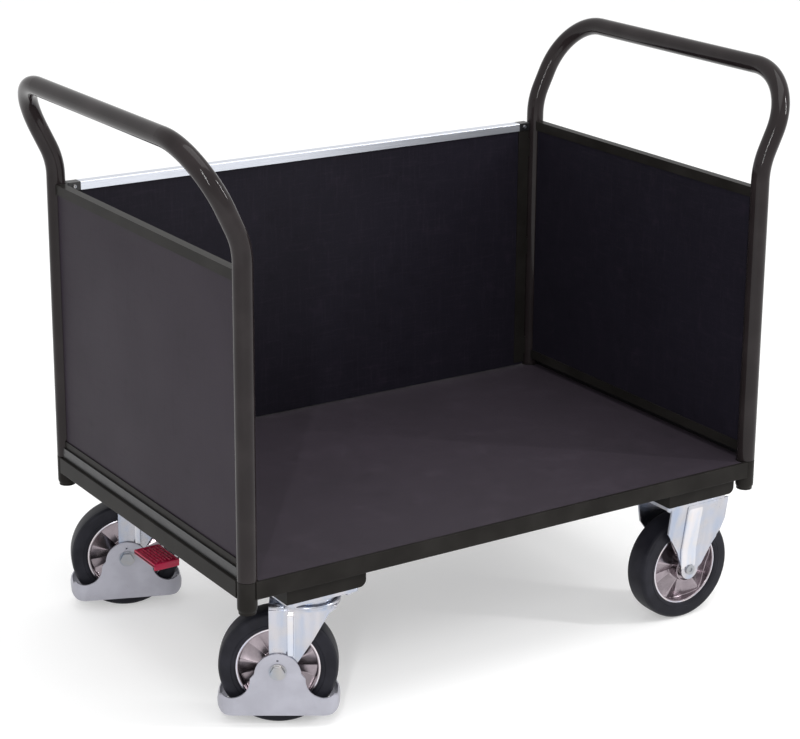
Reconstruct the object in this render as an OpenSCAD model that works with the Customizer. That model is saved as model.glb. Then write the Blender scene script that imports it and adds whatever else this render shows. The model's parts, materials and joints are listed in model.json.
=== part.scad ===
// Three-walled platform trolley: a framed deck on two fixed and two swivel casters,
// two leaning end handles, panelled ends, a panelled back, and a foot brake.
// X runs along the deck, Y across it (the open side is -Y), Z up from the floor.

/* [Platform] */
// Length of the deck frame over its corner sockets
base_length = 1072; // [900:1:1400]
// Width of the deck frame over its corner sockets
base_width = 708; // [600:1:900]
// Height of the top edge of the deck frame above the floor
frame_top = 298; // [290:1:340]
// Height of the rolled rail that runs round the deck
rail_height = 30; // [24:1:45]
// Width of the rail's top lip
rail_lip = 7; // [6:0.5:12]
// Sheet thickness of the rails
rail_sheet = 2.5; // [1.5:0.5:3]
// Width of the inner ledge that carries the board
rail_ledge = 22; // [15:1:40]
// Width of the return at the foot of a rail
rail_return = 12; // [8:1:18]
// Thickness of the deck board
board_thickness = 15; // [12:1:18]
// How far the board lies below the lip
board_drop = 1; // [0.5:0.5:3]
// Gap between the board and the lip
board_gap = 1.5; // [0.5:0.5:3]
// Seam left between a corner socket and the post on it
post_seam = 0.8; // [0:0.1:2]
// Length of a corner socket
socket_length = 55.5; // [45:0.5:60]
// Rounding at the foot of a corner socket
socket_round = 10; // [3:1:12]

/* [End frames] */
// Outer diameter of the bent handle tube
tube_d = 33; // [25:1:40]
// Wall thickness of the handle tube
tube_wall = 2; // [1.5:0.5:3]
// Height where the posts start to lean outward
bend_start = 820; // [700:1:1000]
// Bend radius between post and leaning part, on the centre line
lean_radius = 123; // [80:1:180]
// Lean of the handle away from upright
lean_angle = 25.5; // [10:0.5:35]
// Length of the leaning part, from the bend to the bar's centre line
lean_length = 145; // [125:1:220]
// Radius of the two top corners, on the centre line
corner_radius = 109; // [60:1:120]
// Height of the top edge of the end walls
end_top = 807; // [600:1:812]
// Height of the rails that hold an end panel
panel_rail_height = 18; // [14:1:30]
// Wall thickness of the panel rails
panel_rail_wall = 1.75; // [1:0.25:3]
// Gap between the deck frame and an end wall
end_gap = 14; // [8:1:30]
// Thickness of the strips that seal that gap
strip_thickness = 3; // [2:0.5:5]
// Thickness of the wall panels
panel_thickness = 12; // [9:1:18]
// Gap between a panel and the post beside it
panel_post_gap = 2; // [1:0.5:4]

/* [Back wall] */
// Distance of the back wall's middle from the rear of the deck frame
wall_inset = 15; // [14:1:30]
// Height of the top of the aluminium edge
edge_top = 805; // [600:1:812]
// Height of the aluminium edge profile
edge_height = 15; // [12:1:25]
// Width of the aluminium edge profile
edge_width = 20; // [18:1:30]
// Width of an upright of the back wall
upright_width = 24; // [18:1:40]
// Gap between an upright and the post beside it
upright_gap = 3; // [1:0.5:8]
// Height of a welded tab between upright and post
tab_height = 36; // [20:1:60]
// Gap between the deck frame and the back panel
back_gap = 1.5; // [0.5:0.5:5]

/* [Casters] */
// Height of the casters from the floor to the top of their plates
caster_height = 238; // [236:1:240]
// Diameter of the wheels
wheel_d = 200; // [160:1:200]
// Width of the tyres
tyre_width = 50; // [40:1:52]
// Rounding of the tyre shoulders
tyre_shoulder = 7; // [3:0.5:10]
// Diameter of the seat between tyre and rim
rim_d = 142; // [110:1:150]
// Diameter of the axle bolts
axle_d = 12; // [10:1:16]
// Outer diameter of the wheel bearings
bearing_d = 32; // [26:1:40]
// Distance of the swivel axes from the middle of the deck, along it
swivel_x = 377; // [330:1:400]
// Distance of the fixed axles from the middle of the deck, along it
fixed_x = 410; // [330:1:420]
// Distance of the caster middles from the middle of the deck, across it
caster_y = 286.5; // [220:0.5:290]
// Distance of the wheel axle behind the swivel axis
trail = 50; // [40:1:55]
// Resting turn of the front swivel caster
front_turn = 32.5; // [0:0.5:45]
// Resting turn of the back swivel caster
back_turn = 21.5; // [0:0.5:45]
// Length of a caster plate
plate_length = 135; // [130:1:145]
// Width of a caster plate
plate_width = 105; // [98:1:120]
// Thickness of a caster plate
plate_thickness = 6; // [4:0.5:8]
// Hole spacing of a caster plate, along its length
hole_spacing_x = 105; // [100:1:115]
// Hole spacing of a caster plate, across it
hole_spacing_y = 76; // [74:1:80]
// Diameter of the plate bolts
bolt_d = 8; // [6:1:9]
// Radius of the swivel crown
crown_r = 53; // [50:1:56]
// Outer distance between the legs of a fork at the axle
fork_width = 71; // [70:1:74]
// Sheet thickness of the forks
fork_sheet = 4; // [3:0.5:4]
// Wall thickness of the cast foot guards
guard_wall = 4; // [3:0.5:6]
// Height of the foot guards' lower edge above the floor
guard_clearance = 21; // [10:1:30]

/* [Cross-members and brake] */
// Width of a cross-member
cross_width = 150; // [146:1:180]
// Sheet thickness of a cross-member
cross_sheet = 3; // [2:0.5:4]
// Distance of a cross-member's ends from the frame's outer face
cross_inset = 15; // [13:1:40]
// How far the left cross-member's middle lies inward of the swivel axes
left_cross_shift = 4; // [0:1:5]
// How far the right cross-member's middle lies outward of the fixed axles
right_cross_shift = 8; // [0:1:9]
// Diameter of the brake shaft
shaft_d = 12; // [10:1:14]
// Reach of the brake cams from the shaft to the plungers
cam_reach = 34; // [30:1:36]
// Diameter of the brake plungers
plunger_d = 8; // [6:0.5:9]
// Width of the foot pedal, across the trolley
pedal_width = 80; // [50:1:84]
// Length of the foot pedal
pedal_length = 50; // [40:1:60]

/* [Hidden] */
$fn = 48;

// Clearances
bend_overlap = 0.4;    // how far the straight lengths of a bent tube run into its bends
bend_thinning = 0.02;  // how much thinner the tube is in its bends, on each face
touch = 0.05;          // face-to-face allowance between welded or seated pieces
running = 0.05;        // radial clearance of a turning or sliding fit
panel_play = 0.25;     // play of a panel in its groove, each side
bolt_play = 0.5;       // radial play of a bolt in a drilled hole
wheel_play = 1;        // side play between hub and fork, each side

// Deck
tube_r = tube_d / 2;
frame_bottom = frame_top - rail_height;
post_x = base_length / 2 - tube_r;
post_y = base_width / 2 - tube_r;
board_bottom = frame_top - board_drop - board_thickness;
rail_end = 8;          // how far a rail's end stops short of the post's middle
spigot_length = 60;

// End frames
end_bottom = frame_top + end_gap;
panel_rail_width = panel_thickness + 2 * panel_play + 2 * panel_rail_wall;
groove_r = tube_r + touch;

// Back wall
wall_y = base_width / 2 - wall_inset;
upright_outer = post_x - tube_r - upright_gap;
upright_inner = upright_outer - upright_width;
upright_bottom = frame_top + 7;
upright_top = edge_top - edge_height;
slot_width = panel_thickness + 2 * panel_play;
tab_levels = [frame_top + 41, frame_top + 253, frame_top + 455];
screw_r = 2;
screw_head_r = 4;
screw_x = (upright_inner + upright_outer) / 2;
screw_z = edge_top - edge_height / 2;

// Casters
wheel_r = wheel_d / 2;
axle_z = wheel_r;
axle_r = axle_d / 2;
bearing_r = bearing_d / 2;
bearing_width = 12;
rim_r = rim_d / 2;
rim_band = 5;
hub_r = bearing_r + 7;
leg_outer = fork_width / 2;
leg_inner = leg_outer - fork_sheet;
hub_length = 2 * (leg_inner - wheel_play);
plate_top = caster_height;
plate_bottom = plate_top - plate_thickness;
crown_thickness = 5;
crown_bottom = plate_bottom - 19;
crown_top = crown_bottom + crown_thickness;
crown_rim = 3.5;
race_gap = 1;
race_outer = 47;
race_skirt = 7;
ball_r = 4;
ball_ring = 34;
ball_count = 18;
kingpin_r = 9;
kingpin_flange_r = 15;
kingpin_flange = 8;
bolt_r = bolt_d / 2;
nut_r = bolt_d * 0.95;
nut_height = bolt_d * 0.8;
head_height = bolt_d * 0.65;
axle_head_r = axle_d * 1.05;
rib_rise = 1.5;
axle_head = 7;
guard_inner = leg_outer + touch * 2;
guard_outer = guard_inner + guard_wall;
guard_half = wheel_r + 2;
guard_ring = 36;
ring_top = guard_clearance + guard_ring;
bell_r = 39;
bell_z = axle_z - 7;
guard_dip_r = 32;
guard_dip_x = 78;

// Cross-members and brake
cross_top = board_bottom - rail_sheet - touch;
cross_bottom = plate_top;
cross_floor = cross_bottom + cross_sheet;
cross_half = base_width / 2 - cross_inset;
shaft_r = shaft_d / 2;
shaft_x = -swivel_x + cam_reach;
shaft_z = cross_floor + 21;
cam_half = 4;
plunger_r = plunger_d / 2;
plunger_top = shaft_z - cam_half - 0.6;
plunger_foot_r = 8;
plunger_foot = 6;
plunger_foot_z = axle_z + sqrt(wheel_r * wheel_r - trail * trail) + 10.6;
pedal_left = -base_length / 2 + 48;
pedal_front = 55;
pedal_z = 169.5;
pedal_thickness = 7;
arm_y = pedal_front + pedal_width / 2;
arm_width = 12;

paint = [0.2, 0.2, 0.2];
board = [0.24, 0.22, 0.25];
zinc = [0.82, 0.83, 0.88];
cap_black = [0.08, 0.08, 0.09];

// ---------- helpers ----------

// Folded sheet: a strip of even thickness along the given points, with rounded folds.
module strip(points, thickness) {
  for (i = [0 : len(points) - 2]) {
    step = points[i + 1] - points[i];
    translate(points[i])
      rotate(atan2(step[1], step[0]))
        translate([0, -thickness / 2])
          square([norm(step), thickness]);
  }
  for (i = [1 : len(points) - 2])
    translate(points[i]) circle(r = thickness / 2);
}

// Rectangle about the origin with round corners.
module soft_rect(w, h, r) {
  square([w - 2 * r, h], center = true);
  square([w, h - 2 * r], center = true);
  for (x = [-1, 1], y = [-1, 1])
    translate([x * (w / 2 - r), y * (h / 2 - r)]) circle(r = r);
}

// Stands a drawing of (x, z) up and gives it a thickness from y0 to y1.
module upright_slab(y0, y1) {
  translate([0, y1, 0]) rotate([90, 0, 0]) linear_extrude(y1 - y0) children();
}

// The same for a drawing of (y, z), from x0 to x1.
module cross_slab(x0, x1) {
  translate([x0, 0, 0]) rotate([90, 0, 90]) linear_extrude(x1 - x0) children();
}

module hexagon(r, h) {
  cylinder(r = r, h = h, $fn = 6);
}

// Places something at a swivel caster: +X is its leading direction.
module at_swivel(side) {
  turn = side < 0 ? front_turn : back_turn;
  translate([-swivel_x, side * caster_y, 0]) rotate([0, 0, -turn]) children();
}

module at_fixed(side) {
  translate([fixed_x, side * caster_y, 0]) children();
}

// ---------- deck ----------

// Section of a rail: x grows inward from the outer face, y is the height.
module rail_section() {
  half = rail_sheet / 2;
  ledge_z = board_bottom - half;
  strip([
    [rail_return, frame_bottom + half],
    [half, frame_bottom + half],
    [half, frame_top - half],
    [rail_lip - half, frame_top - half],
    [rail_lip - half, ledge_z],
    [rail_lip + rail_ledge, ledge_z]
  ], rail_sheet);
}

// A rail along X, with its outer face towards -Y.
module long_rail() {
  half = post_x - rail_end;
  difference() {
    translate([0, -base_width / 2, 0]) cross_slab(-half, half) rail_section();
    socket_bores(tube_r + touch);
  }
}

// A rail along Y, with its outer face towards -X.
module short_rail() {
  half = post_y - rail_end;
  notch = rail_lip + rail_ledge + touch;
  difference() {
    translate([-base_length / 2, 0, 0]) upright_slab(-half, half) rail_section();
    socket_bores(tube_r + touch);
    for (s = [-1, 1])
      translate([-base_length / 2 + rail_lip, s * base_width / 2 - notch, frame_bottom])
        cube([notch, 2 * notch, rail_height]);
  }
}

module socket_bores(r) {
  for (x = [-1, 1], y = [-1, 1])
    translate([x * post_x, y * post_y, frame_top - socket_length - 1])
      cylinder(r = r, h = socket_length + spigot_length);
}

module front_rail() {
  color(paint) long_rail();
}

module back_rail() {
  color(paint) mirror([0, 1, 0]) long_rail();
}

module left_rail() {
  color(paint) short_rail();
}

module right_rail() {
  color(paint) mirror([1, 0, 0]) short_rail();
}

// A round socket with a soft foot and the spigot that the post slides over.
module corner_sockets() {
  spigot_r = tube_r - tube_wall - touch;
  color(paint)
    for (x = [-1, 1], y = [-1, 1])
      translate([x * post_x, y * post_y, frame_top - socket_length])
        rotate_extrude() {
          translate([0, socket_round]) square([tube_r, socket_length - socket_round]);
          square([tube_r - socket_round, socket_length]);
          translate([tube_r - socket_round, socket_round]) circle_quarter(socket_round);
          square([spigot_r, socket_length + spigot_length]);
        }
}

// Lower right quarter of a disc, for rotated profiles.
module circle_quarter(r) {
  intersection() {
    circle(r = r);
    translate([0, -r]) square(r);
  }
}

// Tray under the deck that carries two casters at x, open at the top.
module cross_member(x, shift) {
  height = cross_top - cross_bottom;
  soft = 12;
  translate([x, 0, cross_bottom])
    difference() {
      translate([shift, 0, 0])
        upright_slab(-cross_half, cross_half) tray_section(cross_width, height, soft);
      translate([shift, 0, cross_sheet])
        upright_slab(-cross_half + cross_sheet, cross_half - cross_sheet)
          tray_section(cross_width - 2 * cross_sheet, height, soft - cross_sheet);
      for (s = [-1, 1]) translate([0, s * caster_y, -1]) plate_holes(bolt_r + bolt_play);
      children();
    }
}

// Section of a tray: square on its left foot, round on its right foot.
module tray_section(w, h, soft) {
  translate([-w / 2, 0]) square([w - soft, h]);
  translate([-w / 2, soft]) square([w, h - soft]);
  translate([w / 2 - soft, soft]) circle(r = soft);
}

module plate_holes(r) {
  for (x = [-1, 1], y = [-1, 1])
    translate([x * hole_spacing_x / 2, y * hole_spacing_y / 2, 0])
      cylinder(r = r, h = 60, center = true);
}

module left_cross_member() {
  color(paint) cross_member(-swivel_x, left_cross_shift) {
    for (s = [-1, 1]) translate([0, s * caster_y, -1]) cylinder(r = plunger_r + 3, h = 30);
    translate([cam_reach - 20, arm_y - arm_width, -1]) cube([40, 2 * arm_width, cross_sheet + 2]);
  }
}

module right_cross_member() {
  color(paint) cross_member(fixed_x, right_cross_shift);
}

module deck_board() {
  half_x = base_length / 2 - rail_lip - board_gap;
  half_y = base_width / 2 - rail_lip - board_gap;
  color(board)
    difference() {
      translate([-half_x, -half_y, board_bottom]) cube([2 * half_x, 2 * half_y, board_thickness]);
      socket_bores(tube_r + board_gap);
    }
}

// ---------- end frames ----------

module tube_ring(thinning = 0) {
  difference() {
    circle(r = tube_r - thinning);
    circle(r = tube_r - tube_wall + thinning);
  }
}

// Tube bend that starts upward and curves towards +X.
module tube_bend(radius, angle) {
  translate([radius, 0, 0]) rotate([90, 0, 180])
    rotate_extrude(angle = angle) translate([radius, 0]) tube_ring(bend_thinning);
}

// Half of the handle of the right-hand end, from the front post to the bar.
module handle_half() {
  foot = frame_top + post_seam;
  rise = bend_start - foot;
  straight = lean_length - corner_radius;
  translate([post_x, -post_y, foot]) {
    linear_extrude(rise + bend_overlap) tube_ring();
    translate([0, 0, rise]) tube_bend(lean_radius, lean_angle);
    translate([lean_radius * (1 - cos(lean_angle)), 0, rise + lean_radius * sin(lean_angle)])
      rotate([0, lean_angle, 0]) {
        translate([0, 0, -bend_overlap]) linear_extrude(straight + 2 * bend_overlap) tube_ring();
        translate([0, 0, straight]) rotate([0, 0, 90]) tube_bend(corner_radius, 90);
      }
  }
}

bar_x = post_x + lean_radius * (1 - cos(lean_angle)) + lean_length * sin(lean_angle);
bar_z = bend_start + lean_radius * sin(lean_angle) + lean_length * cos(lean_angle);

module handle_tube() {
  bar_half = post_y - corner_radius + bend_overlap;
  handle_half();
  mirror([0, 1, 0]) handle_half();
  translate([bar_x, bar_half, bar_z]) rotate([90, 0, 0])
    linear_extrude(2 * bar_half) tube_ring();
}

module post_bores() {
  for (y = [-1, 1])
    translate([post_x, y * post_y, frame_top - 1]) cylinder(r = groove_r, h = bend_start - frame_top);
}

// Grooved rail between the posts; up = 1 opens upward, -1 downward.
module panel_rail(z, up) {
  floor_z = up > 0 ? z + panel_rail_wall : z - 1;
  difference() {
    translate([post_x - panel_rail_width / 2, -post_y, z])
      cube([panel_rail_width, 2 * post_y, panel_rail_height]);
    translate([post_x - slot_width / 2, -post_y - 1, floor_z])
      cube([slot_width, 2 * post_y + 2, panel_rail_height + 1 - panel_rail_wall]);
    post_bores();
  }
}

module top_rail() {
  panel_rail(end_top - panel_rail_height, -1);
}

module bottom_rail() {
  panel_rail(end_bottom, 1);
}

module end_panel() {
  half = post_y - tube_r - panel_post_gap;
  low = end_bottom + panel_rail_wall + touch;
  high = end_top - panel_rail_wall - panel_play;
  translate([post_x - panel_thickness / 2, -half, low])
    cube([panel_thickness, 2 * half, high - low]);
}

// Sealing strips on the outer faces of the bottom rails; they close the gap above the rail's lip.
module end_gap_strips() {
  strip_lap = 5;
  color(cap_black)
    for (s = [0, 1])
      mirror([s, 0, 0])
        difference() {
          translate([post_x + panel_rail_width / 2 + touch, -post_y, frame_top + touch])
            cube([strip_thickness, 2 * post_y, end_gap + strip_lap]);
          post_bores();
        }
}

module left_handle_tube() {
  color(paint) mirror([1, 0, 0]) handle_tube();
}

module left_top_rail() {
  color(paint) mirror([1, 0, 0]) top_rail();
}

module left_bottom_rail() {
  color(paint) mirror([1, 0, 0]) bottom_rail();
}

module left_panel() {
  color(board) mirror([1, 0, 0]) end_panel();
}

module right_handle_tube() {
  color(paint) handle_tube();
}

module right_top_rail() {
  color(paint) top_rail();
}

module right_bottom_rail() {
  color(paint) bottom_rail();
}

module right_panel() {
  color(board) end_panel();
}

// ---------- back wall ----------

module back_panel() {
  half = upright_outer - panel_rail_wall - panel_play;
  low = frame_top + back_gap;
  high = edge_top - edge_wall() - panel_play;
  color(board)
    difference() {
      translate([-half, wall_y - panel_thickness / 2, low])
        cube([2 * half, panel_thickness, high - low]);
      cap_screw_holes();
    }
}

function edge_wall() = (edge_width - slot_width) / 2;

module cap_screw_holes() {
  for (s = [-1, 1])
    translate([s * screw_x, wall_y - edge_width, screw_z]) rotate([-90, 0, 0])
      cylinder(r = screw_r + touch, h = edge_width + panel_thickness / 2 - 1);
}

// Capping channel over the top of the panel, open downward.
module edge_channel(x0, x1) {
  difference() {
    translate([x0, wall_y - edge_width / 2, edge_top - edge_height])
      cube([x1 - x0, edge_width, edge_height]);
    translate([x0 - 1, wall_y - slot_width / 2, edge_top - edge_height - 1])
      cube([x1 - x0 + 2, slot_width, edge_height + 1 - edge_wall()]);
  }
}

module back_edge_profile() {
  soft = 2;
  half = upright_inner - touch;
  color([0.8, 0.82, 0.86])
    difference() {
      edge_channel(-half, half);
      for (s = [-1, 1])
        translate([0, wall_y + s * (edge_width / 2 - soft), edge_top - soft])
          cross_slab(-half - 1, half + 1)
            difference() {
              translate([s > 0 ? 0 : -soft - 1, 0]) square(soft + 1);
              circle(r = soft);
            }
    }
}

// Plastic caps that close the ends of the aluminium edge over the uprights.
module edge_end_caps() {
  color(cap_black)
    difference() {
      for (s = [0, 1])
        mirror([s, 0, 0])
          union() {
            edge_channel(upright_inner + touch, upright_outer);
            translate([upright_outer - panel_rail_wall, wall_y - edge_width / 2, edge_top - edge_height])
              cube([panel_rail_wall, edge_width, edge_height]);
          }
      cap_screw_holes();
    }
}

module cap_screws() {
  color(zinc)
    for (s = [-1, 1])
      translate([s * screw_x, wall_y - edge_width / 2, screw_z]) rotate([-90, 0, 0]) {
        cylinder(r = screw_r, h = edge_width / 2 + panel_thickness / 2 - 2);
        difference() {
          translate([0, 0, -2.5]) cylinder(r1 = screw_head_r - 1, r2 = screw_head_r, h = 2.5);
          for (a = [0, 90])
            rotate([0, 0, a]) translate([-2, -0.5, -3]) cube([4, 1, 1.5]);
        }
      }
}

// Grooved upright of the back wall; the groove faces the panel.
module back_upright() {
  difference() {
    translate([upright_inner, wall_y - panel_rail_width / 2, upright_bottom])
      cube([upright_width, panel_rail_width, upright_top - upright_bottom - touch]);
    translate([upright_inner - 1, wall_y - slot_width / 2, upright_bottom - 1])
      cube([upright_width + 1 - panel_rail_wall, slot_width, upright_top]);
  }
}

module left_upright() {
  color(paint) mirror([1, 0, 0]) back_upright();
}

module right_upright() {
  color(paint) back_upright();
}

// Short plates that join the uprights to the posts.
module upright_tabs() {
  tab_thickness = 4;
  color(paint)
    for (s = [0, 1], z = tab_levels)
      mirror([s, 0, 0])
        difference() {
          translate([upright_outer + touch, wall_y - panel_rail_width / 2 + 1, z - tab_height / 2])
            cube([tube_r, tab_thickness, tab_height]);
          translate([post_x, post_y, z - tab_height]) cylinder(r = groove_r, h = 2 * tab_height);
          translate([post_x - tube_r / 3, wall_y - panel_rail_width, z - tab_height])
            cube([tube_d, 2 * panel_rail_width, 2 * tab_height]);
        }
}

// ---------- caster fasteners and swivel heads ----------

module at_caster_plates() {
  for (y = [-1, 1]) {
    translate([-swivel_x, y * caster_y, 0]) children();
    translate([fixed_x, y * caster_y, 0]) children();
  }
}

module at_plate_holes() {
  for (x = [-1, 1], y = [-1, 1])
    translate([x * hole_spacing_x / 2, y * hole_spacing_y / 2, 0]) children();
}

// Hexagon bolts with their heads inside the cross-members.
module plate_bolts() {
  tail = nut_height + 2;
  color(zinc)
    at_caster_plates() at_plate_holes() {
      translate([0, 0, cross_floor + touch]) hexagon(nut_r, head_height);
      translate([0, 0, plate_bottom - tail]) cylinder(r = bolt_r, h = cross_floor + 1 - plate_bottom + tail);
    }
}

module plate_nuts() {
  color(zinc)
    at_caster_plates() at_plate_holes()
      translate([0, 0, plate_bottom - nut_height - touch])
        difference() {
          hexagon(nut_r, nut_height);
          translate([0, 0, -1]) cylinder(r = bolt_r + touch, h = nut_height + 2);
        }
}

module caster_plate(bore) {
  difference() {
    translate([0, 0, plate_bottom])
      linear_extrude(plate_thickness - touch) soft_rect(plate_length, plate_width, 8);
    translate([0, 0, plate_bottom]) plate_holes(bolt_r + bolt_play);
    if (bore > 0) translate([0, 0, plate_bottom - 1]) cylinder(r = bore, h = plate_thickness + 2);
  }
}

module swivel_top_plates() {
  color(zinc)
    for (s = [-1, 1])
      translate([-swivel_x, s * caster_y, 0]) caster_plate(kingpin_r + touch);
}

// Upper ball race: a ring with an outer skirt, seated under the plate.
module upper_races() {
  ring_inner = ball_ring - 6;
  ring_bottom = crown_top + 2 * ball_r + 0.7;
  color(zinc)
    for (s = [-1, 1])
      translate([-swivel_x, s * caster_y, 0])
        rotate_extrude() {
          translate([ring_inner, ring_bottom])
            square([race_outer - ring_inner, plate_bottom - touch - ring_bottom]);
          translate([race_outer - race_skirt, crown_top + race_gap])
            square([race_skirt, plate_bottom - touch - crown_top - race_gap]);
        }
}

// Hollow kingpins with a flange under the crown; the brake plungers run inside them.
module kingpins() {
  flange_top = crown_bottom - 0.3;
  color(zinc)
    for (s = [-1, 1])
      translate([-swivel_x, s * caster_y, 0])
        difference() {
          union() {
            translate([0, 0, flange_top - kingpin_flange]) cylinder(r = kingpin_r, h = plate_top - touch - flange_top + kingpin_flange);
            translate([0, 0, flange_top - kingpin_flange]) cylinder(r = kingpin_flange_r, h = kingpin_flange);
          }
          translate([0, 0, crown_bottom - 20]) cylinder(r = plunger_r + running, h = 60);
        }
}

module race_balls() {
  for (i = [0 : ball_count - 1])
    rotate([0, 0, i * 360 / ball_count])
      translate([ball_ring, 0, crown_top + 0.3 + ball_r]) sphere(r = ball_r);
}

module front_race_balls() {
  color(zinc) at_swivel(-1) race_balls();
}

module back_race_balls() {
  color(zinc) at_swivel(1) race_balls();
}

// ---------- forks ----------

// Side view of a swivel fork leg; x from the axle towards the swivel axis.
module swivel_leg_outline() {
  front = trail + crown_r - 5;
  polygon([
    [-14, axle_z], [20, axle_z], [34, axle_z + 17], [59, axle_z + 56],
    [85, crown_bottom - 9], [front, crown_bottom + 1], [front, crown_top], [-14, crown_top]
  ]);
  translate([3, axle_z]) circle(r = 17);
}

module swivel_fork() {
  rib_top = crown_bottom - 4;
  rib_bottom = axle_z + 36;
  difference() {
    union() {
      translate([-trail, 0, 0])
        intersection() {
          upright_slab(-leg_outer, leg_outer) swivel_leg_outline();
          cross_slab(-60, 160) fork_bow(leg_outer, axle_z - 30, crown_top, 9, fork_sheet);
        }
      translate([0, 0, crown_bottom]) cylinder(r = crown_r, h = crown_thickness);
      difference() {
        translate([0, 0, crown_bottom]) cylinder(r = crown_r, h = crown_thickness + 4);
        translate([0, 0, crown_bottom]) cylinder(r = crown_r - crown_rim, h = crown_thickness + 5);
      }
      translate([-trail, 0, 0])
        for (s = [-1, 1])
          translate([-14, s > 0 ? leg_outer - 1 : -leg_outer - 1.8, rib_bottom])
            cube([33, 2.8, rib_top - rib_bottom]);
    }
    translate([0, 0, crown_bottom - 1]) cylinder(r = kingpin_r + running, h = crown_thickness + 2);
    axle_bore(-trail);
  }
}

// Section of a bow: two legs and a top with round shoulders; x across, y up.
module fork_bow(half, low, high, soft, sheet) {
  difference() {
    union() {
      translate([-half, low]) square([2 * half, high - low - soft]);
      translate([-half + soft, low]) square([2 * (half - soft), high - low]);
      for (s = [-1, 1]) translate([s * (half - soft), high - soft]) circle(r = soft);
    }
    translate([-half + sheet, low - 1]) square([2 * (half - sheet), high - low + 1 - soft]);
    translate([-half + soft, low - 1]) square([2 * (half - soft), high - low + 1 - crown_thickness]);
    for (s = [-1, 1]) translate([s * (half - soft), high - soft]) circle(r = soft - sheet);
  }
}

module axle_bore(x) {
  translate([x, -60, axle_z]) rotate([-90, 0, 0]) cylinder(r = axle_r + touch, h = 120);
}

module front_swivel_fork() {
  color(zinc) at_swivel(-1) swivel_fork();
}

module back_swivel_fork() {
  color(zinc) at_swivel(1) swivel_fork();
}

// Side view of a fixed fork leg: a full flank and a raised middle.
module fixed_leg_outline() {
  high = plate_bottom + 1;
  polygon([
    [-19, axle_z], [-19, axle_z + 6], [-29, axle_z + 38], [-58, axle_z + 81], [-59, high],
    [73, high], [73, axle_z + 88], [66, axle_z + 66], [27, axle_z + 6], [19, axle_z]
  ]);
  translate([0, axle_z]) circle(r = 19);
}

module fixed_rib_outline() {
  intersection() {
    fixed_leg_outline();
    translate([-22, axle_z - 30]) square([80, 200]);
  }
}

// Section of a fixed fork: legs that lean out towards the plate.
module fixed_bow(extra) {
  top_half = plate_width / 2 - 1 + extra;
  low_half = leg_outer + extra;
  knee = axle_z + 40;
  for (s = [-1, 1])
    polygon([
      [s * low_half, axle_z - 30], [s * low_half, knee], [s * top_half, plate_bottom + 1],
      [s * (top_half - fork_sheet), plate_bottom + 1], [s * (low_half - fork_sheet), knee],
      [s * (low_half - fork_sheet), axle_z - 30]
    ]);
}

module fixed_fork() {
  difference() {
    union() {
      caster_plate(0);
      intersection() {
        upright_slab(-80, 80) fixed_leg_outline();
        cross_slab(-80, 90) fixed_bow(0);
      }
      intersection() {
        upright_slab(-80, 80) fixed_rib_outline();
        cross_slab(-80, 90) fixed_bow(rib_rise);
      }
    }
    axle_bore(0);
    translate([0, 0, plate_bottom]) plate_holes(bolt_r + bolt_play);
  }
}

module front_fixed_fork() {
  color(zinc) at_fixed(-1) fixed_fork();
}

module back_fixed_fork() {
  color(zinc) at_fixed(1) mirror([0, 1, 0]) fixed_fork();
}

// ---------- foot guards ----------

// Block of a guard before it is hollowed: a bell round the axle that spreads into a low ring.
module guard_block() {
  depth = guard_outer + 1;
  difference() {
    union() {
      upright_slab(-depth, depth) translate([0, bell_z]) circle(r = bell_r);
      upright_slab(-depth, depth)
        translate([0, guard_clearance + guard_ring / 2])
          soft_rect(2 * guard_half, guard_ring, guard_ring / 2 - 1);
      upright_slab(-depth, depth)
        polygon([
          [-74, guard_clearance + 5], [-74, ring_top - 3], [-bell_r + 2, bell_z + 5],
          [bell_r - 2, bell_z + 5], [74, ring_top - 3], [74, guard_clearance + 5]
        ]);
    }
    for (s = [-1, 1])
      upright_slab(-depth - 1, depth + 1)
        translate([s * guard_dip_x, ring_top - 5 + guard_dip_r]) circle(r = guard_dip_r);
  }
}

module foot_guard() {
  translate([-trail, 0, 0])
    difference() {
      intersection() {
        guard_block();
        linear_extrude(200) soft_rect(2 * guard_half, 2 * guard_outer, 30);
      }
      translate([0, 0, -1])
        linear_extrude(220)
          soft_rect(2 * (guard_half - guard_wall), 2 * guard_inner, 30 - guard_wall);
      axle_bore(0);
      translate([0, -60, axle_z + 20]) rotate([-90, 0, 0]) cylinder(r = 1.8, h = 120);
    }
}

module front_foot_guard() {
  color([0.68, 0.68, 0.73]) at_swivel(-1) foot_guard();
}

module back_foot_guard() {
  color([0.68, 0.68, 0.73]) at_swivel(1) foot_guard();
}

// ---------- wheels ----------

// Bolt and nut of one axle; seat is the distance of the outer faces they clamp.
// flat = true gives a low round head with a hollow, false a hexagon head on a washer.
module axle_set(seat, flat) {
  rotate([90, 0, 0]) {
    translate([0, 0, seat + touch])
      if (flat)
        difference() {
          cylinder(r = axle_head_r - 3, h = 3);
          translate([0, 0, 1.5]) cylinder(r = axle_r - 2, h = 2);
        }
      else
        union() {
          hexagon(axle_head_r, axle_head);
          cylinder(r = axle_head_r + 2, h = 1.5);
        }
    translate([0, 0, -seat - axle_head - 3]) cylinder(r = axle_r, h = 2 * seat + axle_head + 4);
    translate([0, 0, -seat - touch - axle_head])
      difference() {
        hexagon(axle_head_r, axle_head);
        translate([0, 0, -1]) cylinder(r = axle_r + touch, h = axle_head + 2);
      }
  }
}

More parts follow.
